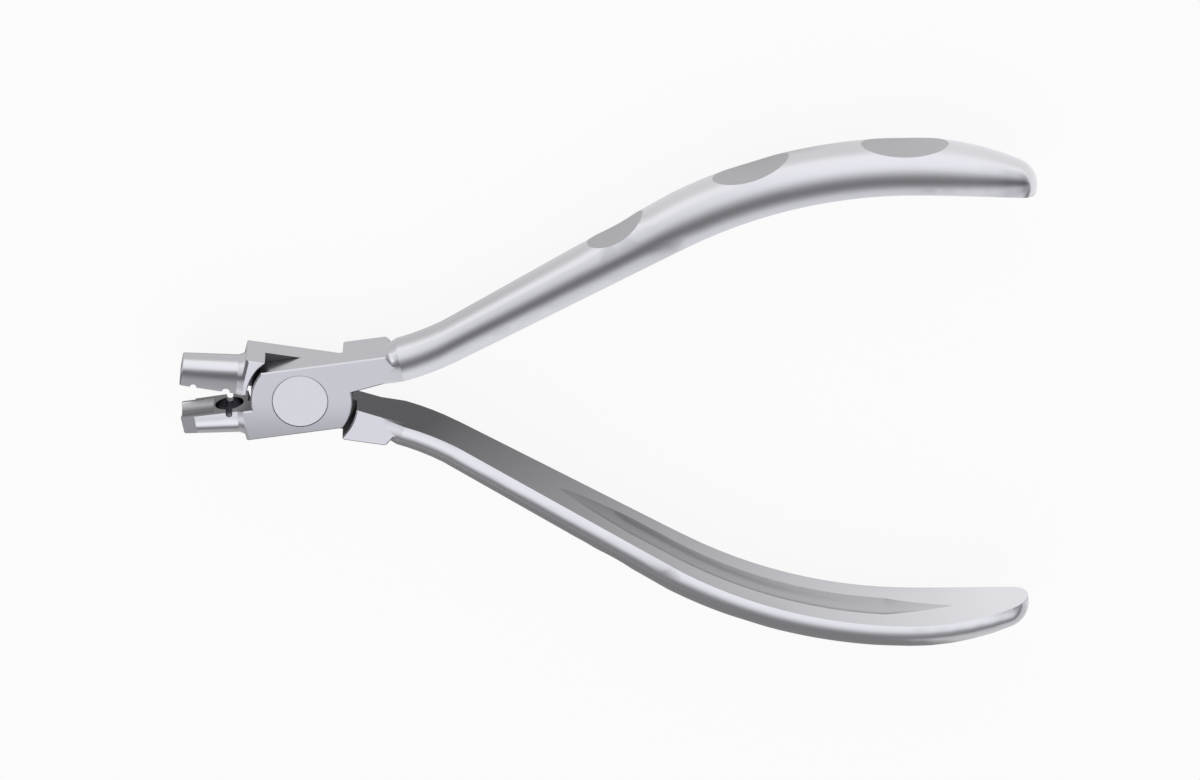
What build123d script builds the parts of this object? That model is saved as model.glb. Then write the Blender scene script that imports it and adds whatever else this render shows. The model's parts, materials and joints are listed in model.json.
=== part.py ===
"""Orthodontic hook-crimping pliers: two forged halves that turn on one flush rivet.

Each half is one forging with a handle, a lap plate of half the joint's thickness and a jaw on the far side
of the rivet. A half is drawn closed and flat, with the rivet's axis on Z, the jaws towards -X and the plane
between the two lap plates at Z = 0. It is then turned open about the rivet and set into the pliers' frame,
whose origin is on the rivet's axis at the joint's rear face.
"""

import os
from math import acos, atan2, cos, degrees, hypot, radians, sin, sqrt

from build123d import *

# Joint, in millimetres
joint_thickness = 7.8
joint_half_width = 5.4
lap_gap = 0.1
nose_radius = 7.5
nose_clearance = 0.7
heel_radius = 7.9
heel_clearance = 0.8
edge_break = 0.2
half_opening = 8.5
jaw_socket_radius = nose_radius + nose_clearance
handle_socket_radius = heel_radius + heel_clearance

# Rivet, flush with both faces: tight in the rear half, free to turn in the front half
rivet_shank_radius = 2.6
rivet_head_radius = 4.24
rivet_head_depth = 1.3
rivet_edge_break = 0.12
running_clearance = 0.04

# Jaws: square shoulders in front of the sockets carry turned beaks, parted a little below the rivet's centre
jaw_parting_drop = 0.5
jaw_closed_gap = 0.1
shoulder_wall = 0.8
shoulder_slant = 0.45
shoulder_chamfer = 0.45
shoulder_front = jaw_socket_radius + shoulder_wall

# Beaks: a cone with its axis behind the parting face, from the seat in the shoulder to the end
beak_length = 9.4
beak_seat_depth = 0.2
beak_root_radius = 3.63
beak_root_drop = 1.12
beak_end_radius = 3.23
beak_end_drop = 0.47
beak_end_break = 0.15
beak_flare = 0.45
beak_flare_length = 1.0
jaw_reach = shoulder_front + beak_length

# Front half's beak, measured from the shoulder: hook recess, wire groove, trough and two flats at the end
recess_at = 2.0
recess_radius = 2.2
recess_depth = 3.4
wire_groove_radius = 0.5
wire_groove_depth = 0.75
trough_at = 4.3
trough_radius = 4.5
trough_depth = 0.75
trough_corner = 0.35
end_flat_length = 2.1
end_flat_top = 2.9
end_flat_bottom = 1.2

# Rear half's beak, measured from the shoulder: two notches across it that grip the wire
tip_notch_at = 7.3
tip_notch_radius = 0.48
root_notch_at = 2.3
root_notch_radius = 0.62

# Handles: a round bar with a flat on its inner side. Its line is a root, a bend, a straight run and a bow,
# and the bar rounds off past the bow in a nose
shoulder_outer_end = 13.9
shoulder_corner = 0.6
shoulder_lip = 0.4
root_fillet = 0.6
root_start_x = 8.0
root_start_y = 0.25
root_angle = 8.4
root_length = 8.3
bend_radius = 42.0
run_length = 37.0
run_angle = 21.6
bow_radius = 72.0
bow_end_angle = -8.5
nose_length = 18.2
nose_tip_radius = 4.1
nose_cones = 5
root_start = (root_start_x, root_start_y)

# The bar swells along the root and the run, and its axis falls below the flat on the way to the bow
bar_start = 4.0
bar_start_radius = 3.55
bar_bend_radius = 4.75
bar_bow_radius = 6.95
bar_bow_drop = 1.1

# Long shallow groove down the flat, from the run into the bow, pointed at both ends
groove_radius = 5.3
groove_depth = 0.85
groove_on_run = 22.0
groove_on_bow = 34.0
groove_run_in = 14.0
groove_run_in_radius = 4.3
groove_run_out = 11.0
groove_run_out_radius = 3.6

# Finger scallops across the bar's back: one along the run and two along the bow
fore_scallop_at = 30.0
fore_scallop_length = 10.0
middle_scallop_at = 12.0
middle_scallop_length = 12.2
rear_scallop_at = 33.8
rear_scallop_length = 13.8
scallop_depth = 1.05


def on_arc(radius, y, side):
    """The point at height y of a circle about the rivet, on its -X or +X side."""
    return (side * sqrt(radius**2 - y**2), y)


def joint_arc(radius, start_y, end_y, side):
    """An arc about the rivet between two heights."""
    middle = on_arc(radius, (start_y + end_y) / 2, side)
    return ThreePointArc(on_arc(radius, start_y, side), middle, on_arc(radius, end_y, side))


def turned(start, direction, profile):
    """A solid turned about an axis in the XY plane, from pairs of distance along it and radius."""
    with BuildPart() as solid:
        with BuildSketch(Plane(origin=start, x_dir=direction, z_dir=(0, 0, 1))):
            with BuildLine():
                Polyline((profile[0][0], 0), *profile, (profile[-1][0], 0), close=True)
            make_face()
        revolve(axis=Axis(start, direction))
    return solid.part


def bent(arc, radius, turn_axis):
    """A round bar that follows an arc in the XY plane."""
    with BuildPart() as solid:
        with BuildSketch(Plane(origin=arc @ 0, z_dir=arc % 0)):
            Circle(radius)
        revolve(axis=Axis(arc.arc_center, turn_axis), revolution_arc=degrees(arc.length / arc.radius))
    return solid.part


def handle_line(drop=0, past_end=0):
    """Root, bend, run and bow, each tangent to the next, with the bow's arc nearer its centre by drop."""
    span = bend_radius + bow_radius
    centres_apart = hypot(run_length, span)
    angle = run_angle + degrees(acos(span / centres_apart) - acos((span - drop) / centres_apart))
    length = sqrt(centres_apart**2 - (span - drop) ** 2)
    with BuildLine():
        root = PolarLine(root_start, root_length, root_angle)
        bend = JernArc(root @ 1, root % 1, bend_radius, angle - root_angle)
        run = PolarLine(bend @ 1, length, angle)
        bow = JernArc(run @ 1, run % 1, bow_radius - drop, bow_end_angle - angle - past_end)
    return root, bend, run, bow


def across(line, distance):
    """A plane across the handle, with local X towards the pliers' middle and local Y along Z."""
    here = line.position_at(distance, position_mode=PositionMode.LENGTH)
    along = line.tangent_at(distance, position_mode=PositionMode.LENGTH)
    return Plane(origin=here, x_dir=along.rotate(Axis.Z, -90), z_dir=along)


def nose(bow):
    """The bar's end past the bow, turned: cones along a long round side, which runs into a round tip."""
    past_tip = nose_length - nose_tip_radius
    narrowing = bar_bow_radius - nose_tip_radius
    side_radius = (past_tip**2 + bar_bow_radius**2 - nose_tip_radius**2) / (2 * narrowing)
    side_turn = atan2(past_tip, side_radius - bar_bow_radius)
    turns = [side_turn * step / nose_cones for step in range(nose_cones + 1)]
    side = [(side_radius * sin(turn), bar_bow_radius - side_radius * (1 - cos(turn))) for turn in turns]
    with BuildPart() as solid:
        with BuildSketch(Plane(origin=bow @ 1, x_dir=bow % 1, z_dir=(0, 0, 1))):
            with BuildLine():
                Polyline(side)
                onward = (cos(side_turn), -sin(side_turn))
                tip = JernArc(side[-1], onward, nose_tip_radius, degrees(side_turn) - 90)
                Polyline(tip @ 1, (0, 0), side[0])
            make_face()
        revolve(axis=Axis(bow @ 1, bow % 1))
    return solid.part


def groove(flat_run, flat_bow):
    """The groove's cutter: a cone that dips in, a rod along the run and the bow, and a cone that rises out."""
    below = groove_radius - groove_depth
    lead = across(flat_run, flat_run.length - groove_on_run)
    dip = ((0, groove_run_in_radius), (groove_run_in, groove_radius), (groove_on_run, groove_radius))
    leave = across(flat_bow, groove_on_bow)
    rise = ((0, groove_radius), (groove_run_out, groove_run_out_radius))
    with BuildLine():
        start = across(flat_bow, 0)
        turn = -degrees(groove_on_bow / bow_radius)
        arc = JernArc(start.origin + start.x_dir * below, start.z_dir, bow_radius - below, turn)
    with BuildPart() as cutter:
        add(turned(lead.origin + lead.x_dir * below, lead.z_dir, dip))
        add(bent(arc, groove_radius, (0, 0, -1)))
        add(turned(leave.origin + leave.x_dir * below, leave.z_dir, rise))
    return cutter.part


def handle():
    """A handle towards +X: a bar that is turned and bent, then milled flat, grooved and scalloped."""
    flat = handle_line(past_end=degrees(2 * nose_length / bow_radius))
    root, bend, run, bow = handle_line(bar_bow_drop)
    with BuildPart() as bar:
        root_profile = ((bar_start, bar_start_radius), (root.length, bar_bend_radius))
        add(turned(root @ 0, root % 0, root_profile))
        add(bent(bend, bar_bend_radius, (0, 0, 1)))
        add(turned(run @ 0, run % 0, ((0, bar_bend_radius), (run.length, bar_bow_radius))))
        add(bent(bow, bar_bow_radius, (0, 0, -1)))
        add(nose(bow))

        # Flat inner face
        with BuildSketch():
            with BuildLine():
                add(flat)
                end = flat[-1] @ 1
                below = -flat[-1].length
                Polyline(end, (end.X, below), (root_start[0], below), root_start)
            make_face()
        extrude(amount=2 * bar_bow_radius, both=True, mode=Mode.SUBTRACT)

        add(groove(*flat[2:]), mode=Mode.SUBTRACT)

        # Finger scallops, on the straight back of the run and the round back of the bow
        back_curve = 1 / (bow.radius + bar_bow_radius)
        swell = (bar_bow_radius - bar_bend_radius) / run.length
        fore_back = bar_bend_radius + swell * fore_scallop_at
        scallops = (
            (run, fore_back, 0, fore_scallop_at, fore_scallop_length),
            (bow, bar_bow_radius, back_curve, middle_scallop_at, middle_scallop_length),
            (bow, bar_bow_radius, back_curve, rear_scallop_at, rear_scallop_length),
        )
        for stretch, back, curve, at, length in scallops:
            radius = 1 / (8 * scallop_depth / length**2 - curve)
            place = across(stretch, at)
            with BuildSketch():
                with Locations(place.origin - place.x_dir * (back + radius - scallop_depth)):
                    Circle(radius)
            extrude(amount=2 * bar_bow_radius, both=True, mode=Mode.SUBTRACT)
    return bar.part


def beak(parting):
    """A beak towards -X: a turned cone, cut flat at Y = parting and square at its end."""
    seat = -shoulder_front + beak_seat_depth
    root = Vector(seat, parting - beak_root_drop)
    end = Vector(-jaw_reach, parting - beak_end_drop)
    length = (end - root).length
    slope = (beak_end_radius - beak_root_radius) / length
    overlong = length + beak_end_radius
    profile = (
        (-beak_end_radius, beak_root_radius + beak_flare),
        (0, beak_root_radius + beak_flare),
        (beak_flare_length, beak_root_radius + slope * beak_flare_length),
        (overlong, beak_root_radius + slope * overlong),
    )
    with BuildPart() as cone:
        add(turned(root, (end - root).normalized(), profile))
        with BuildSketch():
            with Locations((seat, parting)):
                Rectangle(jaw_reach + seat, 2 * joint_half_width, align=Align.MAX)
        extrude(amount=joint_thickness, both=True, mode=Mode.INTERSECT)
        chamfer(cone.faces().sort_by(Axis.X)[0].edges(), beak_end_break)
    return cone.part


def forged_half(parting, rivet_clearance):
    """One forging, closed: lap plate on +Z, handle towards +Y, jaw below its inner face at Y = parting."""
    width = joint_half_width
    heel_y = root_start[1]
    root_end = handle_line()[0] @ 1

    with BuildPart() as half:
        # Lap plate, with the nose that turns in the other jaw and the heel that turns in the other handle
        with BuildSketch(Plane.XY.offset(lap_gap / 2)) as plate:
            with BuildLine():
                joint_arc(nose_radius, parting, width, -1)
                Polyline(
                    on_arc(nose_radius, width, -1),
                    (shoulder_outer_end, width),
                    root_end,
                    on_arc(heel_radius, heel_y, 1),
                )
                joint_arc(heel_radius, heel_y, -width, 1)
                Polyline(
                    on_arc(heel_radius, -width, 1),
                    (-shoulder_front, -width),
                    (-shoulder_front - shoulder_slant, parting),
                    on_arc(nose_radius, parting, -1),
                )
            make_face()
            fillet(plate.vertices().sort_by_distance((shoulder_outer_end, width))[0], shoulder_corner)
        extrude(amount=joint_thickness / 2 - lap_gap / 2)

        # Jaw and handle shoulders, which reach through the other half's thickness
        with BuildSketch(Plane.XY.offset(-joint_thickness / 2)) as shoulders:
            with BuildLine():
                joint_arc(jaw_socket_radius, parting, -width, -1)
                Polyline(
                    on_arc(jaw_socket_radius, -width, -1),
                    (-shoulder_front, -width),
                    (-shoulder_front - shoulder_slant, parting),
                    on_arc(jaw_socket_radius, parting, -1),
                )
            make_face()
            with BuildLine():
                joint_arc(handle_socket_radius, heel_y, width, 1)
                Polyline(
                    on_arc(handle_socket_radius, width, 1),
                    (shoulder_outer_end, width),
                    root_end,
                    on_arc(handle_socket_radius, heel_y, 1),
                )
            make_face()
            fillet(shoulders.vertices().sort_by_distance((shoulder_outer_end, width))[0], shoulder_corner)
            lip = on_arc(handle_socket_radius, width, 1)
            fillet(shoulders.vertices().sort_by_distance(lip)[0], shoulder_lip)
        extrude(amount=joint_thickness / 2 + lap_gap / 2)

        # Edges of the flat faces: a turned bevel round the beak's seat, and a fine break elsewhere
        flats = half.faces().filter_by(Axis.Z).group_by(Axis.Z)
        edges = flats[0].edges() + flats[-1].edges()
        at_seat = edges.filter_by(lambda edge: edge.center().X < -shoulder_front)
        chamfer(edges - at_seat, edge_break)
        flats = half.faces().filter_by(Axis.Z).group_by(Axis.Z)
        edges = flats[0].edges() + flats[-1].edges()
        chamfer(edges.filter_by(lambda edge: edge.center().X < -shoulder_front), shoulder_chamfer)

        add(beak(parting))
        add(handle())

        # Fillets where the round bar leaves the square shoulder
        leaving = half.edges().filter_by(GeomType.ELLIPSE)
        fillet(leaving.filter_by_position(Axis.X, shoulder_outer_end, root_end.X), root_fillet)

        # Rivet hole, with the seat of the rivet's head
        with Locations((0, 0, joint_thickness / 2)):
            CounterBoreHole(
                rivet_shank_radius + rivet_clearance,
                rivet_head_radius + rivet_clearance,
                rivet_head_depth + rivet_clearance,
            )

    return half.part


front_parting = -jaw_parting_drop - jaw_closed_gap / 2
rear_parting = jaw_parting_drop - jaw_closed_gap / 2

with BuildPart() as trough:
    with BuildSketch(Plane.YZ.offset(-jaw_reach)):
        with Locations((front_parting + trough_radius - trough_depth, 0)):
            Circle(trough_radius)
    extrude(amount=beak_length - trough_at)
    fillet(trough.faces().sort_by(Axis.X)[-1].edges(), trough_corner)

with BuildPart() as front_closed:
    add(forged_half(front_parting, running_clearance))

    # Trough along the front of the beak, for the hook's arm
    add(trough.part, mode=Mode.SUBTRACT)

    # Recess for the hook's base
    recess_x = -shoulder_front - recess_at
    with BuildSketch(Plane.XZ.offset(-front_parting)):
        with Locations((recess_x, 0)):
            Circle(recess_radius)
    extrude(amount=recess_depth, mode=Mode.SUBTRACT)

    # Wire groove across the recess
    with BuildSketch():
        with Locations((recess_x, front_parting + wire_groove_radius - wire_groove_depth)):
            Circle(wire_groove_radius)
            Rectangle(2 * wire_groove_radius, wire_groove_depth, align=(Align.CENTER, Align.MIN))
    extrude(amount=joint_thickness, both=True, mode=Mode.SUBTRACT)

    # Flats on both sides of the beak's end
    end_height = beak_end_radius + beak_end_drop
    lean = (end_flat_top - end_flat_bottom) / end_height
    top = (front_parting + end_flat_length, end_flat_top + end_flat_length * lean)
    bottom_drop = end_height + end_flat_length
    bottom = (front_parting - bottom_drop, end_flat_top - bottom_drop * lean)
    with BuildSketch(Plane.YZ.offset(-jaw_reach)):
        with BuildLine():
            Polyline(top, bottom, (bottom[0], joint_thickness), (top[0], joint_thickness), close=True)
        make_face()
        mirror(about=Plane.XZ)
    extrude(amount=end_flat_length, mode=Mode.SUBTRACT)

with BuildPart() as rear_closed:
    add(forged_half(rear_parting, 0))

    # Notches across the beak
    with BuildSketch():
        with Locations((-shoulder_front - tip_notch_at, rear_parting)):
            Circle(tip_notch_radius)
        with Locations((-shoulder_front - root_notch_at, rear_parting)):
            Circle(root_notch_radius)
    extrude(amount=joint_thickness, both=True, mode=Mode.SUBTRACT)

with BuildPart() as joint_rivet:
    with BuildSketch():
        Circle(rivet_head_radius)
    extrude(amount=rivet_head_depth)
    with BuildSketch():
        Circle(rivet_shank_radius)
    extrude(amount=joint_thickness)
    with BuildSketch(Plane.XY.offset(joint_thickness - rivet_head_depth)):
        Circle(rivet_head_radius)
    extrude(amount=rivet_head_depth)
    ends = joint_rivet.faces().filter_by(Axis.Z).group_by(Axis.Z)
    chamfer(ends[0].edges() + ends[-1].edges(), rivet_edge_break)
joint_rivet.part.label = "joint_rivet"

turn = radians(half_opening)
middle = (0, 0, joint_thickness / 2)
front_place = Plane(origin=middle, x_dir=(cos(turn), sin(turn), 0), z_dir=(0, 0, 1))
rear_place = Plane(origin=middle, x_dir=(cos(turn), -sin(turn), 0), z_dir=(0, 0, -1))

with BuildPart(front_place) as front_half:
    add(front_closed.part)
front_half.part.label = "front_half"

with BuildPart(rear_place) as rear_half:
    add(rear_closed.part)
rear_half.part.label = "rear_half"

os.makedirs("parts", exist_ok=True)
export_step(front_half.part, "parts/front_half.step")
export_step(rear_half.part, "parts/rear_half.step")
export_step(joint_rivet.part, "parts/joint_rivet.step")
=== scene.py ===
# %% [markdown]
# # Orthodontic hook-crimping pliers
# Two forged steel halves turn on one flush rivet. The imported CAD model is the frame: every piece here
# sits where the solids are, in metres, with the rivet's axis on Z and the jaws towards -X. The solids
# already have the right shape, so this lesson is about finish: how one forging gets a satin joint,
# polished handles and blasted finger scallops, and how a studio is built that shows polished steel as a
# catalogue photograph does.

import json
from math import cos, degrees, pi, radians, sin

import bpy
from mathutils import Matrix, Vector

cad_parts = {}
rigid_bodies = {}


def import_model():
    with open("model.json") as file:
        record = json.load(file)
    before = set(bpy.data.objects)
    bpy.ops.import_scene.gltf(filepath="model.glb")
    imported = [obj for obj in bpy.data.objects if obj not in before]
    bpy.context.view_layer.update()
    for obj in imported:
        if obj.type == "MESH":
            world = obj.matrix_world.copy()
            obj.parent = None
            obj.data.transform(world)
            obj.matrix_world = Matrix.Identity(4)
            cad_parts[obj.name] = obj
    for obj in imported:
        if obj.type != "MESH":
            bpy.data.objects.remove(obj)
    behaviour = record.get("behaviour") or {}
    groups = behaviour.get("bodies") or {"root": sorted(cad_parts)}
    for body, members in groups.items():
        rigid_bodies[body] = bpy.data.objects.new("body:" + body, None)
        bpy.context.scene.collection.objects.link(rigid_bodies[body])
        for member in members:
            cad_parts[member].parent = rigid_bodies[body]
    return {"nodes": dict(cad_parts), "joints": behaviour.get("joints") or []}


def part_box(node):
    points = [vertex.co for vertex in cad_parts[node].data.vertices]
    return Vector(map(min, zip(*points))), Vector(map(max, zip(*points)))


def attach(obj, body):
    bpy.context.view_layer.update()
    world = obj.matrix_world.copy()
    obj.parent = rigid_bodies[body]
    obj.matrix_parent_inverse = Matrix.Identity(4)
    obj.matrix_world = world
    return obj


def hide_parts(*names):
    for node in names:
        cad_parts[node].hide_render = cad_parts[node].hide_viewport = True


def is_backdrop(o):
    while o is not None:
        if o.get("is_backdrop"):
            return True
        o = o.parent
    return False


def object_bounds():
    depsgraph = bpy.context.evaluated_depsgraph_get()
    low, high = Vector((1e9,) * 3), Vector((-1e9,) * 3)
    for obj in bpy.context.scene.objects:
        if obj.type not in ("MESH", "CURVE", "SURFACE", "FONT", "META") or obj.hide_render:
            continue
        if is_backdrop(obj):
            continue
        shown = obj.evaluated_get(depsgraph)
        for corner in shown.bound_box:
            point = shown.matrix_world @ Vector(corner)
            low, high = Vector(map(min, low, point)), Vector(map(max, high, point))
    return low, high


for leftover in list(bpy.data.objects):
    bpy.data.objects.remove(leftover)
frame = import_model()
cad_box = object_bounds()
scene = bpy.context.scene
scene.view_settings.view_transform = "Standard"
print("frame:", {name: len(node.data.polygons) for name, node in frame["nodes"].items()})

# %% [markdown]
# ## Measures from the frame
# Two measures drive the finishes, and the frame holds both. The halves lap at half the rivet's height.
# The hinge closes from the photograph's pose by the lower end of its range, so each half stands open by
# half that angle. They could be typed in again, but read from the frame they stay right when the model
# changes.

# %% Measures from the frame
MM = 0.001
rivet_low, rivet_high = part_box("joint_rivet")
mid_height = (rivet_low.z + rivet_high.z) / 2
half_opening = radians(-frame["joints"][0]["range_deg"][0] / 2)
print(f"lap at {mid_height / MM:.2f} mm, each half open by {degrees(half_opening):.1f} degrees")

# %% [markdown]
# ## Node helpers
# Shader trees and geometry trees are wired in the same way: make a node, set its values, link its inputs.
# One helper does all three, so that each effect below reads as a short list of steps. The others give the
# results that are asked for most: a sum, a vector sum, a vector's parts, and a ramp from one level to
# another.

# %% Node helpers


def wire(tree, kind, settings=(), **inputs):
    """Adds a node, sets its properties and feeds its inputs from values or from other nodes' sockets."""
    node = tree.nodes.new(kind)
    for key, value in dict(settings).items():
        setattr(node, key, value)
    for key, value in inputs.items():
        socket = node.inputs[int(key[1:])] if key[1:].isdigit() else node.inputs[key.replace("_", " ")]
        if isinstance(value, bpy.types.NodeSocket):
            tree.links.new(value, socket)
        else:
            socket.default_value = value
    return node


def maths(tree, operation, first, second=0.0):
    """One Math node's result."""
    return wire(tree, "ShaderNodeMath", {"operation": operation}, i0=first, i1=second).outputs[0]


def vector_maths(tree, operation, **inputs):
    """One Vector Math node's results, a Vector and a Value."""
    return wire(tree, "ShaderNodeVectorMath", {"operation": operation}, **inputs).outputs


def axes_of(tree, vector):
    """A vector's X, Y and Z."""
    return wire(tree, "ShaderNodeSeparateXYZ", Vector=vector).outputs


def ramp(tree, value, start, end, low=0.0, high=1.0, kind="SMOOTHSTEP"):
    """A level that goes from low to high as the value goes from start to end, and holds beyond them."""
    return wire(
        tree,
        "ShaderNodeMapRange",
        {"interpolation_type": kind},
        Value=value,
        From_Min=start,
        From_Max=end,
        To_Min=low,
        To_Max=high,
    ).outputs[0]


print("helpers:", [helper.__name__ for helper in (wire, maths, vector_maths, axes_of, ramp)])

# %% [markdown]
# ## Shared surface effects
# A grinding belt leaves fine parallel lines, and handling leaves broad faint smudges. Both change how
# sharply the steel mirrors the room, more than its colour. They could be painted on, but noise in the
# pliers' own coordinates is the same from every side. They are groups, because the joint, the handles and
# the rivet all use them: the lines run along each half, so a half gives them its own turn.

# %% Shared surface effects
shade_lift = 0.5
shade_contrast = 0.12


def effect_group(name, inputs, outputs):
    """An empty shader group with named numbers as its inputs and outputs."""
    group = bpy.data.node_groups.new(name, "ShaderNodeTree")
    for label, value in inputs.items():
        socket = group.interface.new_socket(label, in_out="INPUT", socket_type="NodeSocketFloat")
        socket.default_value = value
    for label in outputs:
        group.interface.new_socket(label, in_out="OUTPUT", socket_type="NodeSocketFloat")
    return group, group.nodes.new("NodeGroupInput").outputs, group.nodes.new("NodeGroupOutput").inputs


def make_grind_lines():
    """Fine parallel lines along a direction in the pliers' plane, as a height and a change of roughness."""
    sizes = {"Turn": 0.0, "Line width": 0.06 * MM, "Line length": 6 * MM}
    group, given, result = effect_group("grind_lines", sizes, ["Height", "Streak"])
    place = wire(group, "ShaderNodeTexCoord").outputs["Object"]
    about_z = {"rotation_type": "Z_AXIS"}
    along = wire(group, "ShaderNodeVectorRotate", about_z, Vector=place, Angle=given["Turn"]).outputs[0]
    across_scale = maths(group, "DIVIDE", 1.0, given["Line width"])
    along_scale = maths(group, "DIVIDE", 1.0, given["Line length"])
    scale = wire(group, "ShaderNodeCombineXYZ", X=along_scale, Y=across_scale, Z=across_scale).outputs[0]
    stretched = vector_maths(group, "MULTIPLY", i0=along, i1=scale)["Vector"]
    noise = wire(group, "ShaderNodeTexNoise", Vector=stretched, Scale=1.0, Detail=2.0, Roughness=0.6)
    lines = noise.outputs["Fac"]
    group.links.new(lines, result["Height"])
    group.links.new(maths(group, "SUBTRACT", lines, 0.5), result["Streak"])
    return group


def make_handling():
    """Broad faint smudges, as a change of roughness and a small lift of the colour."""
    group, given, result = effect_group("handling", {"Patch size": 9 * MM}, ["Smudge", "Shade"])
    place = wire(group, "ShaderNodeTexCoord").outputs["Object"]
    scale = maths(group, "DIVIDE", 1.0, given["Patch size"])
    noise = wire(group, "ShaderNodeTexNoise", Vector=place, Scale=scale, Detail=4.0, Roughness=0.55)
    smudge = maths(group, "SUBTRACT", noise.outputs["Fac"], 0.5)
    shade = maths(group, "ADD", maths(group, "MULTIPLY", smudge, shade_contrast), shade_lift)
    group.links.new(smudge, result["Smudge"])
    group.links.new(shade, result["Shade"])
    return group


grind_lines = make_grind_lines()
handling = make_handling()
print("effects:", grind_lines.name, handling.name)

# %% [markdown]
# ## Kinds of steel
# Everything is one stainless steel, a little blue. What differs is the surface, so a finish is a few
# numbers: how rough it is, how deep its lines are, and how much the lines and the smudges vary it; a few
# finishes also have a darker colour that is painted shade. Ground and polished steel share one recipe.
# Blasted steel has a dull grain in place of lines, and a recipe of its own. Two places vary along the
# piece, both with a painted shade: the front plate's colour darkens towards its lower edge, and the upper
# beak's flanks, away from mid-height, are darkened as well as ground duller than the rest of it.

# %% Kinds of steel
blast_grain = 0.12 * MM
blast_depth = 0.006 * MM
flank_from = (2.5 * MM, 3.1 * MM)
flank_roughness = 0.2


def bare_steel(name, colour, roughness):
    """A metal with one colour and one roughness, set on the shader's own sockets."""
    material = bpy.data.materials.new(name)
    material.use_nodes = True
    shader = material.node_tree.nodes["Principled BSDF"].inputs
    shader["Metallic"].default_value = 1.0
    shader["Base Color"].default_value = (*colour, 1)
    shader["Roughness"].default_value = roughness
    return material, material.node_tree, shader


def engrave(tree, shader, height, depth):
    """Gives the surface fine relief of a real depth."""
    bump = wire(tree, "ShaderNodeBump", Strength=1.0, Distance=depth, Height=height)
    tree.links.new(bump.outputs[0], shader["Normal"])


def own_axes(tree):
    """A place's X, Y and Z in the piece's own coordinates, which are the pliers' frame."""
    return axes_of(tree, wire(tree, "ShaderNodeTexCoord").outputs["Object"])


def blasted_steel(name, colour, roughness):
    """Steel with the fine dull grain that a bead blast leaves."""
    material, tree, shader = bare_steel(name, colour, roughness)
    place = wire(tree, "ShaderNodeTexCoord").outputs["Object"]
    grain = wire(tree, "ShaderNodeTexNoise", Vector=place, Scale=1 / blast_grain, Detail=3.0)
    engrave(tree, shader, grain.outputs["Fac"], blast_depth)
    return material


def ground_steel(name, colour, roughness, line_depth, turn, streak, smudge, painted_fade=None, flank_painted_shade=None):
    """Steel with grinding lines along a turned X and with handling marks. A painted fade is a start, an end
    and two levels along Y, a painted shade on the colour. A flank painted shade darkens the parts away from
    mid-height, which are also made rougher."""
    material, tree, shader = bare_steel(name, colour, roughness)
    lines = wire(tree, "ShaderNodeGroup", {"node_tree": grind_lines}, Turn=turn).outputs
    marks = wire(tree, "ShaderNodeGroup", {"node_tree": handling}).outputs
    streaks = maths(tree, "MULTIPLY", lines["Streak"], streak)
    smudges = maths(tree, "MULTIPLY", marks["Smudge"], smudge)
    rough = maths(tree, "ADD", maths(tree, "ADD", streaks, smudges), roughness)
    shade = maths(tree, "ADD", maths(tree, "MULTIPLY", marks["Shade"], smudge), 1.0)
    # Painted shade: the colour darkens along Y
    if painted_fade:
        shade = maths(tree, "MULTIPLY", shade, ramp(tree, own_axes(tree)["Y"], *painted_fade))
    # Painted shade on the beak's flanks, which are also made rougher
    if flank_painted_shade:
        from_middle = maths(tree, "ABSOLUTE", maths(tree, "SUBTRACT", own_axes(tree)["Z"], mid_height))
        shade = maths(tree, "MULTIPLY", shade, ramp(tree, from_middle, *flank_from, 1.0, flank_painted_shade))
        rough = maths(tree, "ADD", rough, ramp(tree, from_middle, *flank_from, 0.0, flank_roughness))
    tint = vector_maths(tree, "SCALE", i0=colour, Scale=shade)["Vector"]
    tree.links.new(tint, shader["Base Color"])
    tree.links.new(rough, shader["Roughness"])
    engrave(tree, shader, lines["Height"], line_depth)
    return material


print("kinds of steel:", blasted_steel.__name__, ground_steel.__name__)

# %% [markdown]
# ## Finishes
# Handles and beaks are polished, the joint is ground satin, and the finger scallops are blasted dull. The
# flats along the handles and the grooves in them are milled, and the grooves are darker, a painted shade.
# The sockets that the halves turn in and the faces where they lap are near black, a painted shade, and the
# rivet's head is ground flush and shows as a slightly lighter disc. Each half gets a set of its own,
# because its lines run along its own handle, and because the front plate's satin is darker than the
# rear's, a painted shade.

# %% Finishes
polish_lines, milled_lines, satin_lines = 0.0002 * MM, 0.0006 * MM, 0.0015 * MM
polish_colour = (0.6, 0.6, 0.63)
blasted_colour = (0.46, 0.46, 0.475)
# The grooves are milled; their darker colour is a painted shade
groove_shade_colour = (0.47, 0.47, 0.49)
# Near black for the sockets and the faces where the halves lap: a painted shade
socket_shade_colour = (0.14, 0.14, 0.15)
rivet_colour = (0.63, 0.63, 0.675)
sides = {
    "front": {
        "turn": -half_opening,
        # Front plate: a darker satin colour than the rear's and a fade towards its lower edge, both painted
        # shade
        "satin": (0.51, 0.51, 0.55),
        "painted_fade": (-7 * MM, 1 * MM, 0.7, 1.04),
        "flank_painted_shade": None,
    },
    "rear": {
        "turn": half_opening,
        "satin": (0.62, 0.62, 0.665),
        "painted_fade": None,
        # Darkens the rear half's upper beak flanks: a painted shade
        "flank_painted_shade": 0.52,
    },
}


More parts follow.
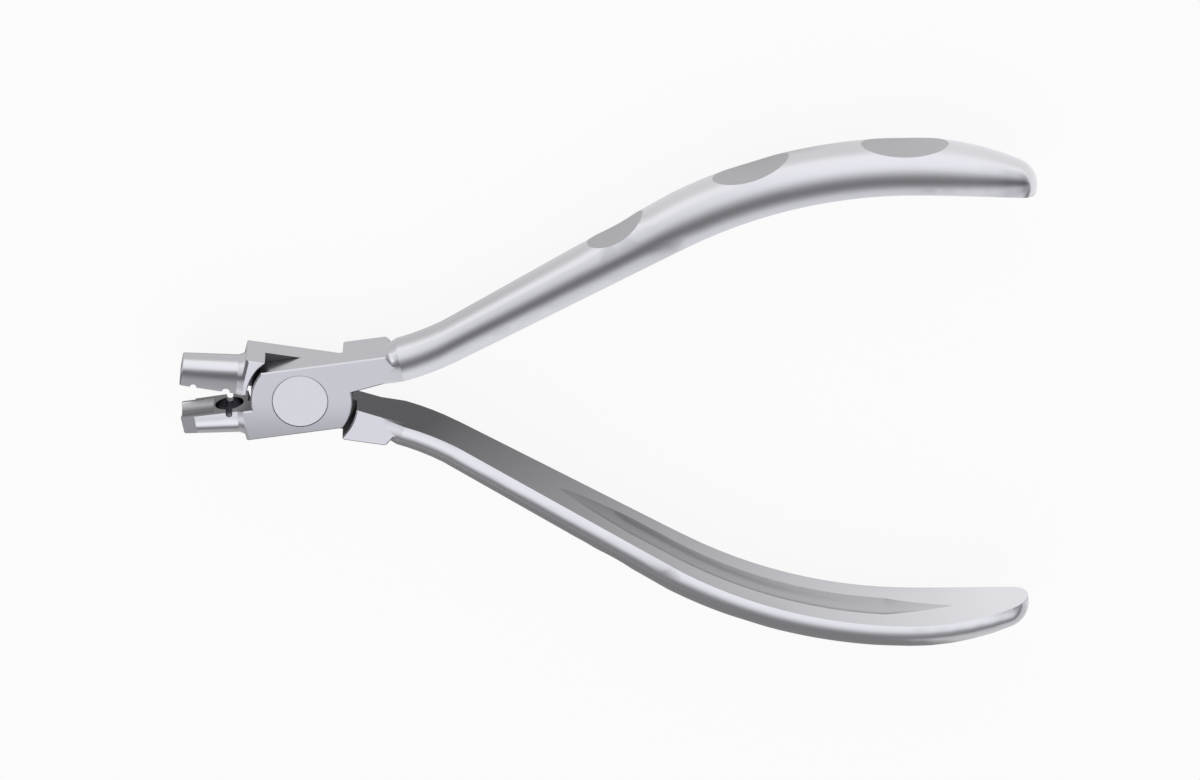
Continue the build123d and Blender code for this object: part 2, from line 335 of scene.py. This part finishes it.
def finishes(side):
    """A half's finish for each zone."""
    own = sides[side]
    turn = own["turn"]
    polished = {"line_depth": polish_lines, "turn": turn, "streak": 0.05, "smudge": 0.06}
    milled = {"line_depth": milled_lines, "turn": turn, "streak": 0.08, "smudge": 0.06}
    satin = {"line_depth": satin_lines, "turn": turn, "streak": 0.12, "smudge": 0.06, "painted_fade": own["painted_fade"]}
    socket_shading = {"line_depth": satin_lines, "turn": turn, "streak": 0.12, "smudge": 0.1}
    ground_and_shaded_beak = polished | {"flank_painted_shade": own["flank_painted_shade"]}
    return {
        "Polish": ground_steel(f"polished_handle_{side}", polish_colour, roughness=0.23, **polished),
        "Satin": ground_steel(f"satin_joint_{side}", own["satin"], roughness=0.32, **satin),
        "Blasted": blasted_steel(f"blasted_scallop_{side}", blasted_colour, roughness=0.5),
        "Milled": ground_steel(f"milled_flat_{side}", polish_colour, roughness=0.22, **milled),
        "Painted_shade": ground_steel(f"painted_shade_socket_{side}", socket_shade_colour, roughness=0.5, **socket_shading),
        # Milled groove, darkened by a painted shade
        "Groove": ground_steel(f"milled_groove_painted_shade_{side}", groove_shade_colour, roughness=0.26, **milled),
        # On the rear half the beak's flanks carry a painted shade as well as a duller grind
        "Beak": ground_steel(f"polished_beak_{side}", polish_colour, roughness=0.18, **ground_and_shaded_beak),
    }


half_finishes = {side: finishes(side) for side in sides}
rivet_lines = {"line_depth": satin_lines, "turn": radians(35), "streak": 0.12, "smudge": 0.04}
rivet_finish = ground_steel("ground_rivet", rivet_colour, roughness=0.36, **rivet_lines)
print("finishes:", [material.name for half in half_finishes.values() for material in half.values()])

# %% [markdown]
# ## A tree for the forgings
# A half's zones could be picked by hand, face by face, and picked again after every change to the model.
# A Geometry Nodes tree picks them by rules instead, the same for both halves, since one is the other
# turned over. Its inputs are the sizes that the rules go by and a finish for each zone.

# %% A tree for the forgings
forging_sizes = {
    "Merge distance": 0.002 * MM,
    "Soft angle": radians(7),
    "Closing turn": 0.0,
    "Handle side": 1.0,
    "Joint end": 18 * MM,
    "Flat limit": 0.02,
    "Lap height": mid_height,
    "Lap slack": 0.1 * MM,
    "Socket inside": 7.4 * MM,
    "Socket outside": 8.8 * MM,
    "Beak start": -9.4 * MM,
}


def make_forging_tree():
    """A tree with a forging's geometry, sizes and finishes as inputs, and nothing between its ends yet."""
    tree = bpy.data.node_groups.new("finish_forging", "GeometryNodeTree")
    tree.interface.new_socket("Geometry", in_out="INPUT", socket_type="NodeSocketGeometry")
    for label, value in forging_sizes.items():
        socket = tree.interface.new_socket(label, in_out="INPUT", socket_type="NodeSocketFloat")
        socket.default_value = value
    for zone in half_finishes["front"]:
        tree.interface.new_socket(zone, in_out="INPUT", socket_type="NodeSocketMaterial")
    tree.interface.new_socket("Geometry", in_out="OUTPUT", socket_type="NodeSocketGeometry")
    return tree, tree.nodes.new("NodeGroupInput").outputs, tree.nodes.new("NodeGroupOutput").inputs


forging, forging_given, forging_result = make_forging_tree()
print("forging tree:", [socket.name for socket in forging_given if socket.name])

# %% [markdown]
# ## Place and facing
# The rules ask where a face is and which way it looks. The two halves stand open at opposite angles, so
# each place and normal is first turned back into the closed pliers' frame and set so that the handle runs
# towards +X with its back towards +Y. After that, one rule fits both.

# %% Place and facing
side_sign = forging_given["Handle side"]
own_way_up = wire(forging, "ShaderNodeCombineXYZ", X=1.0, Y=side_sign, Z=side_sign).outputs[0]


def closed(vector):
    """A vector's parts in the closed pliers' frame, seen from the half's own side."""
    turned = wire(
        forging,
        "ShaderNodeVectorRotate",
        {"rotation_type": "Z_AXIS"},
        Vector=vector,
        Angle=forging_given["Closing turn"],
    ).outputs[0]
    return axes_of(forging, vector_maths(forging, "MULTIPLY", i0=turned, i1=own_way_up)["Vector"])


here = wire(forging, "GeometryNodeInputPosition").outputs[0]
normal = wire(forging, "GeometryNodeInputNormal").outputs[0]
place = closed(here)
facing = closed(normal)
height = axes_of(forging, here)["Z"]
lean = maths(forging, "ABSOLUTE", axes_of(forging, normal)["Z"])
print("place and facing:", len(forging.nodes), "nodes")

# %% [markdown]
# ## Joining the CAD faces
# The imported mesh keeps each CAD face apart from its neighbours, so a highlight breaks wherever two faces
# meet, even where the handle's surface runs on smoothly. Smoothing by angle alone would also round real
# corners. So each face first notes which CAD face it belongs to, then the faces are joined, and an edge
# stays sharp only where two CAD faces meet at a real corner.

# %% Joining the CAD faces
seam_spread = 0.01
on_faces = {"data_type": "FLOAT", "domain": "FACE"}
island = wire(forging, "GeometryNodeInputMeshIsland").outputs["Island Index"]


def per_island(value):
    """The mean of a value over one CAD face, which is an island until the merge."""
    mean = wire(forging, "GeometryNodeFieldAverage", on_faces, Value=value, Group_ID=island)
    return mean.outputs["Mean"]


def noted(note):
    """What a face noted before the merge. On an edge, it is the mean of the faces that meet there."""
    return wire(forging, "GeometryNodeInputNamedAttribute", {"data_type": "FLOAT"}, Name=note).outputs[0]


def join_faces():
    """The forging in one piece, smooth but for its real corners."""
    notes = {
        "island": island,
        "island_squared": maths(forging, "MULTIPLY", island, island),
        "island_lean": per_island(lean),
        "island_x": per_island(place["X"]),
    }
    whole = forging_given["Geometry"]
    store = "GeometryNodeStoreNamedAttribute"
    for note, value in notes.items():
        whole = wire(forging, store, on_faces, Geometry=whole, Name=note, Value=value).outputs[0]
    merge_distance = forging_given["Merge distance"]
    merge = wire(forging, "GeometryNodeMergeByDistance", Geometry=whole, Distance=merge_distance)

    # Numbers that differ have a mean square above the square of their mean
    number = noted("island")
    square = maths(forging, "MULTIPLY", number, number)
    spread = maths(forging, "SUBTRACT", noted("island_squared"), square)
    seam = maths(forging, "GREATER_THAN", spread, seam_spread)
    bend = wire(forging, "GeometryNodeInputMeshEdgeAngle").outputs["Unsigned Angle"]
    bent = maths(forging, "GREATER_THAN", bend, forging_given["Soft angle"])
    corner = maths(forging, "MULTIPLY", seam, bent)

    shade = "GeometryNodeSetShadeSmooth"
    merged = merge.outputs[0]
    smooth = wire(forging, shade, {"domain": "FACE"}, Geometry=merged, Shade_Smooth=True).outputs[0]
    by_edge = {"domain": "EDGE"}
    sharp = wire(forging, shade, by_edge, Geometry=smooth, Selection=corner, Shade_Smooth=False)
    return sharp.outputs[0]


joined = join_faces()
print("joining:", len(forging.nodes), "nodes")

# %% [markdown]
# ## Zones
# Each tool leaves its finish where it reached. A face's mean lean out of the upright tells a cut made
# straight across the bar, such as a scallop, from the round bar itself, and its mean place along the
# pliers tells a beak from the shoulder that carries it. Means over a whole CAD face keep the border of a
# finish on a real edge.

# %% Zones
facing_aside = 0.3
facing_parting = 0.5
facing_up = 0.99
facing_rivet = 0.95


def above(value, limit):
    return maths(forging, "GREATER_THAN", value, limit)


def below(value, limit):
    return maths(forging, "LESS_THAN", value, limit)


def opposite(condition):
    return maths(forging, "SUBTRACT", 1.0, condition)


def every(first, *others):
    for other in others:
        first = maths(forging, "MULTIPLY", first, other)
    return first


def socket_walls():
    """The walls of the sockets, which stand round the rivet and face it or face away from it."""
    spoke = vector_maths(forging, "MULTIPLY", i0=here, i1=(1, 1, 0))["Vector"]
    radius = vector_maths(forging, "LENGTH", i0=spoke)["Value"]
    outwards = vector_maths(forging, "NORMALIZE", i0=spoke)["Vector"]
    along_spoke = vector_maths(forging, "DOT_PRODUCT", i0=normal, i1=outwards)["Value"]
    return every(
        above(maths(forging, "ABSOLUTE", along_spoke), facing_rivet),
        above(radius, forging_given["Socket inside"]),
        below(radius, forging_given["Socket outside"]),
    )


def zones():
    """Where each finish goes. A later one covers an earlier one."""
    on_handle = above(place["X"], forging_given["Joint end"])
    on_joint = opposite(on_handle)
    upright = below(noted("island_lean"), forging_given["Flat limit"])
    level = above(noted("island_lean"), facing_up)
    outwards = above(facing["Y"], facing_aside)
    inwards = below(facing["Y"], -facing_aside)
    on_beak = below(noted("island_x"), forging_given["Beak start"])
    off_parting = below(facing["Y"], facing_parting)
    over_lap = maths(forging, "SUBTRACT", height, forging_given["Lap height"])
    from_lap = maths(forging, "ABSOLUTE", over_lap)
    lap_faces = every(level, below(from_lap, forging_given["Lap slack"]), on_joint)
    return {
        "Satin": every(level, on_joint),
        "Blasted": every(on_handle, upright, outwards),
        "Milled": every(on_handle, inwards),
        # The sockets and the lap faces get a near-black painted shade
        "Painted_shade": maths(forging, "MAXIMUM", lap_faces, socket_walls()),
        "Groove": every(on_handle, inwards, opposite(upright)),
        "Beak": every(on_beak, off_parting),
    }


set_finish = "GeometryNodeSetMaterial"
whole = wire(forging, "GeometryNodeRealizeInstances", Geometry=joined).outputs[0]
whole = wire(forging, set_finish, Geometry=whole, Material=forging_given["Polish"]).outputs[0]
for zone, faces in zones().items():
    finish = forging_given[zone]
    whole = wire(forging, set_finish, Geometry=whole, Selection=faces, Material=finish).outputs[0]
forging.links.new(whole, forging_result["Geometry"])
print("zones:", len(forging.nodes), "nodes")

# %% [markdown]
# ## Two forgings
# The tree runs on a copy of each half's CAD mesh, and its result is made a plain mesh, which rides on the
# half's body in place of the CAD node. The CAD mesh itself stays as it is. The notes that the faces
# carried are cleared away, since nothing reads them after this.

# %% Two forgings


def finished(name, node, values):
    """A plain mesh made by the forging tree from a CAD node's mesh, as a new object."""
    raw = bpy.data.objects.new(name + "_raw", frame["nodes"][node].data.copy())
    raw.data.materials.clear()
    scene.collection.objects.link(raw)
    modifier = raw.modifiers.new("finish", "NODES")
    modifier.node_group = forging
    for item in forging.interface.items_tree:
        if item.in_out == "INPUT" and item.name in values:
            modifier[item.identifier] = values[item.name]
    evaluated = raw.evaluated_get(bpy.context.evaluated_depsgraph_get())
    mesh = bpy.data.meshes.new_from_object(evaluated)
    bpy.data.objects.remove(raw)
    for note in [item.name for item in mesh.attributes if item.name.startswith("island")]:
        mesh.attributes.remove(mesh.attributes[note])
    mesh.name = name
    piece = bpy.data.objects.new(name, mesh)
    scene.collection.objects.link(piece)
    return piece


def finished_half(name, node, body, side, handle_side):
    """One half, finished, riding on its body in place of the CAD node."""
    own_way = {"Closing turn": sides[side]["turn"], "Handle side": handle_side}
    piece = finished(name, node, half_finishes[side] | own_way)
    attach(piece, body)
    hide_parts(node)
    counts = {}
    for face in piece.data.polygons:
        finish = piece.data.materials[face.material_index].name
        counts[finish] = counts.get(finish, 0) + 1
    print(name, len(piece.data.vertices), "vertices,", counts)


finished_half("front_forging", "front_half", "front_arm", "front", 1.0)
finished_half("rear_forging", "rear_half", "rear_arm", "rear", -1.0)

# %% [markdown]
# ## Rivet
# The rivet's heads are ground flush with the joint. It could be finished with the forgings' tree too, but
# its CAD solid is right as it is, with no seams to hide, so it only takes a finish.

# %% Rivet
rivet = frame["nodes"]["joint_rivet"]
rivet.material_slots[0].material = rivet_finish
print("rivet:", rivet_finish.name, "on", len(rivet.data.polygons), "faces")

# %% [markdown]
# ## Fields of the floor
# The photograph's background is white, and a pale floor under the pliers does that job. The polished
# steel sees the floor too, from close by, and shows where its light came from: the floor behind the
# pliers is bright, the floor in front lies in shade, and between the handles it darkens towards the
# joint. Cards and flags on a real table would do this. Here the floor is painted in three fields, whose
# borders follow the handles.

# %% Between the handles
crotch_at, crotch_level = 22 * MM, 0.16
mouth_at, mouth_level = 105 * MM, 1.15
bite_y, bite_level, jaw_level = (1 * MM, 5 * MM), 0.25, 0.52
under_jaws_x = (-5 * MM, -11 * MM)
before_groove_x, after_groove_x, groove_shade = (52 * MM, 40 * MM), (58 * MM, 95 * MM), 0.35
beside_flat = (16.5 * MM, 12.5 * MM)


def between_handles(tree, x, y, reach):
    """Dark in the crotch and light at the mouth, in shade by the groove, and grey under the jaws."""
    along = ramp(tree, x, crotch_at, mouth_at, crotch_level, mouth_level, "LINEAR")
    in_bite = ramp(tree, y, *bite_y, bite_level, jaw_level)
    under_jaws = maths(tree, "MULTIPLY", ramp(tree, x, *under_jaws_x), in_bite)
    before_groove = ramp(tree, x, *before_groove_x, groove_shade, 1.0)
    after_groove = ramp(tree, x, *after_groove_x, groove_shade, 1.0)
    by_flat = ramp(tree, maths(tree, "ADD", y, reach), *beside_flat)
    shade = maths(tree, "MAXIMUM", maths(tree, "MAXIMUM", before_groove, after_groove), by_flat)
    return maths(tree, "MULTIPLY", maths(tree, "MAXIMUM", along, under_jaws), shade)


print("between the handles:", crotch_level, "to", mouth_level)

# %% [markdown]
# ## Behind and in front of the pliers
# The polished backs of the handles look away from the middle, so they show the outer floor. Behind the
# pliers it is grey beside the joint and brightens outwards, like paper that runs up to a window. In front
# it is dark, with a little light at the two ends.

# %% Behind and in front
joint_to_handle_x, joint_level, handle_level = (15 * MM, 55 * MM), 0.76, 0.95
handle_end_x, handle_end_gain = (82 * MM, 104 * MM), 0.13
back_depth, far_level = (10 * MM, 40 * MM), 1.3
front_level = 0.28
front_end_x, front_end_level = (96 * MM, 106 * MM), 0.8
front_jaw_x, front_jaw_level = (-5 * MM, -10 * MM), 0.55


def behind_handles(tree, x, y, reach):
    """Lighter from the joint to the handle's end, and bright further back."""
    near = ramp(tree, x, *joint_to_handle_x, joint_level, handle_level)
    near = maths(tree, "ADD", near, ramp(tree, x, *handle_end_x, 0.0, handle_end_gain))
    further = maths(tree, "SUBTRACT", far_level, near)
    far_off = ramp(tree, maths(tree, "SUBTRACT", y, reach), *back_depth)
    return maths(tree, "ADD", near, maths(tree, "MULTIPLY", further, far_off))


def in_front(tree, x):
    """In shade, but lighter by the handle's end and by the jaws."""
    by_end = ramp(tree, x, *front_end_x, front_level, front_end_level)
    by_jaws = ramp(tree, x, *front_jaw_x, front_level, front_jaw_level)
    return maths(tree, "MAXIMUM", by_end, by_jaws)


print("behind:", joint_level, "to", far_level, "and in front:", front_level)

# %% [markdown]
# ## Floor
# To the camera the floor glows nearly white, so that only a trace of the shadow shows. For every other
# ray it has the level of its field. A field is chosen by a place's share of the way out to the handles,
# and fades into the next one a little before and after the handle's line.

# %% Floor
floor_half = 0.6
floor_glow = 0.9
paper_colour = (0.9, 0.9, 0.91, 1)
paper_roughness = 0.9
handle_from, handle_to = (10 * MM, 4 * MM), (75 * MM, 40 * MM)
jaw_root_x, jaw_reach, joint_reach = (-9 * MM, -6 * MM), 6.5 * MM, 4 * MM
border_from, border_to = 0.85, 1.15


def pliers_reach(tree, x):
    """How far the pliers reach to each side of their middle line, at a place along X."""
    (from_x, from_y), (to_x, to_y) = handle_from, handle_to
    handles = ramp(tree, x, from_x, to_x, from_y, to_y, "LINEAR")
    return maths(tree, "MAXIMUM", handles, ramp(tree, x, *jaw_root_x, jaw_reach, joint_reach))


def floor_level(tree):
    """The floor's level at a place: its three fields, faded into each other at the pliers' outline."""
    axes = axes_of(tree, wire(tree, "ShaderNodeNewGeometry").outputs["Position"])
    x, y = axes["X"], axes["Y"]
    reach = pliers_reach(tree, x)
    share = maths(tree, "DIVIDE", y, reach)
    behind = ramp(tree, share, border_from, border_to)
    before = ramp(tree, share, -border_from, -border_to)
    between = maths(tree, "SUBTRACT", maths(tree, "SUBTRACT", 1.0, behind), before)
    level = maths(tree, "MULTIPLY", between, between_handles(tree, x, y, reach))
    level = maths(tree, "ADD", level, maths(tree, "MULTIPLY", behind, behind_handles(tree, x, y, reach)))
    return maths(tree, "ADD", level, maths(tree, "MULTIPLY", before, in_front(tree, x)))


def make_paper():
    """Pale paper that glows: nearly white to the camera, and at its field's level to the steel."""
    paper = bpy.data.materials.new("floor_paper")
    paper.use_nodes = True
    tree = paper.node_tree
    matt = tree.nodes["Principled BSDF"]
    matt.inputs["Base Color"].default_value = paper_colour
    matt.inputs["Roughness"].default_value = paper_roughness
    seen = wire(tree, "ShaderNodeLightPath").outputs["Is Camera Ray"]
    unseen = maths(tree, "SUBTRACT", 1.0, seen)
    strength = maths(tree, "MAXIMUM", seen, maths(tree, "MULTIPLY", unseen, floor_level(tree)))
    glow = wire(tree, "ShaderNodeEmission", Color=(1, 1, 1, 1), Strength=strength).outputs[0]
    glow_share = ramp(tree, seen, 0.0, 1.0, 1.0, floor_glow, "LINEAR")
    mix = wire(tree, "ShaderNodeMixShader", i0=glow_share, i1=matt.outputs[0], i2=glow)
    tree.links.new(mix.outputs[0], tree.nodes["Material Output"].inputs["Surface"])
    return paper


def make_floor(level):
    mesh = bpy.data.meshes.new("floor")
    corners = [(x * floor_half, y * floor_half, level) for x, y in ((-1, -1), (1, -1), (1, 1), (-1, 1))]
    mesh.from_pydata(corners, [], [(0, 1, 2, 3)])
    mesh.materials.append(make_paper())
    floor = bpy.data.objects.new("floor", mesh)
    scene.collection.objects.link(floor)
    floor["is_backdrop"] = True
    print(f"floor: {2 * floor_half:.1f} m square at {level / MM:.2f} mm")


make_floor(cad_box[0].z)

# %% [markdown]
# ## Studio
# Polished steel has hardly any colour of its own: it shows the room. The room could be built from lamps
# and cards. A world that is a ring of soft boxes and dark gaps about the X axis, which runs along the
# pliers, gives the same stripes along the handles with nothing to place. Its levels are listed by the
# angle above the horizon behind the pliers, through straight up at 90 degrees, to the horizon in front at
# 180. The ring darkens towards both ends of the pliers, where the handles' noses and the beaks' ends
# look. Beyond the floor, the camera sees plain white.

# %% Studio
studio_levels = (
    (-180, 0.3),
    (-90, 0.9),
    (-22, 1.14),
    (0, 1.32),
    (18, 1.28),
    (28, 1.15),
    (40, 0.72),
    (50, 0.33),
    (61, 0.21),
    (70, 0.29),
    (78, 0.64),
    (86, 1.02),
    (96, 1.12),
    (115, 1.0),
    (138, 1.36),
    (147, 1.28),
    (155, 0.95),
    (163, 0.4),
    (172, 0.25),
)
studio_blue = 1.03
backdrop_colour = (0.97, 0.97, 0.97, 1)

# Ramps over how far a direction points along X, each with its start, its end and two levels
handle_end = (0.4, 0.95, 1.0, 0.4)
jaw_side = (-0.25, -0.65, 1.0, 0.84)
jaw_end = (-0.7, -0.92, 1.0, 0.3)


def studio_ring(tree, axes):
    """The ring's colour, by the angle about the X axis."""
    angle = maths(tree, "ARCTAN2", axes["Z"], axes["Y"])
    turn_share = ramp(tree, angle, -pi, pi, kind="LINEAR")
    ring = wire(tree, "ShaderNodeValToRGB", Fac=turn_share)
    ring.color_ramp.interpolation = "EASE"
    stops = ring.color_ramp.elements

    # The ramp has two stops of its own to begin with
    for index, (turn, level) in enumerate(studio_levels):
        position = (turn + 180) / 360
        stop = stops[index] if index < 2 else stops.new(position)
        stop.position = position
        stop.color = (level, level, level * studio_blue, 1)
    return ring.outputs["Color"]


def make_studio():
    world = bpy.data.worlds.new("studio")
    scene.world = world
    world.use_nodes = True
    tree = world.node_tree
    axes = axes_of(tree, wire(tree, "ShaderNodeTexCoord").outputs["Generated"])
    seen = wire(tree, "ShaderNodeLightPath").outputs["Is Camera Ray"]
    ring = studio_ring(tree, axes)
    mix = wire(tree, "ShaderNodeMix", {"data_type": "RGBA"}, i0=seen, i6=ring, i7=backdrop_colour)
    strength = ramp(tree, axes["X"], *handle_end)
    for end in (jaw_side, jaw_end):
        strength = maths(tree, "MULTIPLY", strength, ramp(tree, axes["X"], *end))
    background = tree.nodes["Background"].inputs
    tree.links.new(mix.outputs[2], background["Color"])
    tree.links.new(maths(tree, "MAXIMUM", strength, seen), background["Strength"])
    print("studio:", len(studio_levels), "levels in the ring")


make_studio()

# %% [markdown]
# ## Camera
# The photograph looks down on the pliers from 25 degrees behind the vertical, with a slight roll, and
# from so far away that nothing narrows with distance. An orthographic camera would do. A long lens two
# metres off gives the same, with the trace of depth that a real lens has.

# %% Camera
camera_distance = 2.0
view_width = 181.8 * MM
tilt = radians(25)
roll = radians(0.29)
aim = (45.36 * MM, 0.33 * MM, mid_height)

lens = bpy.data.cameras.new("camera")
lens.lens = lens.sensor_width * camera_distance / view_width
lens.clip_end = 10
camera = bpy.data.objects.new("camera", lens)
camera.location = (aim[0], aim[1] + camera_distance * sin(tilt), aim[2] + camera_distance * cos(tilt))
camera.rotation_euler = (Matrix.Rotation(-tilt, 3, "X") @ Matrix.Rotation(roll, 3, "Z")).to_euler()
scene.collection.objects.link(camera)
scene.camera = camera
print("lens", round(lens.lens), "mm, tilt", round(degrees(tilt)))

# %% [markdown]
# ## Sizes and finish
# A finish must not change a size. The box of the CAD model, kept from the start, is set against the box
# of the finished pieces, and how far their corners moved is printed, so that a difference shows at once.

# %% Sizes and finish
visual_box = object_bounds()
moved = [(now - then).length / MM for now, then in zip(visual_box, cad_box)]
print(f"corners of the box moved by {max(moved):.4f} mm")
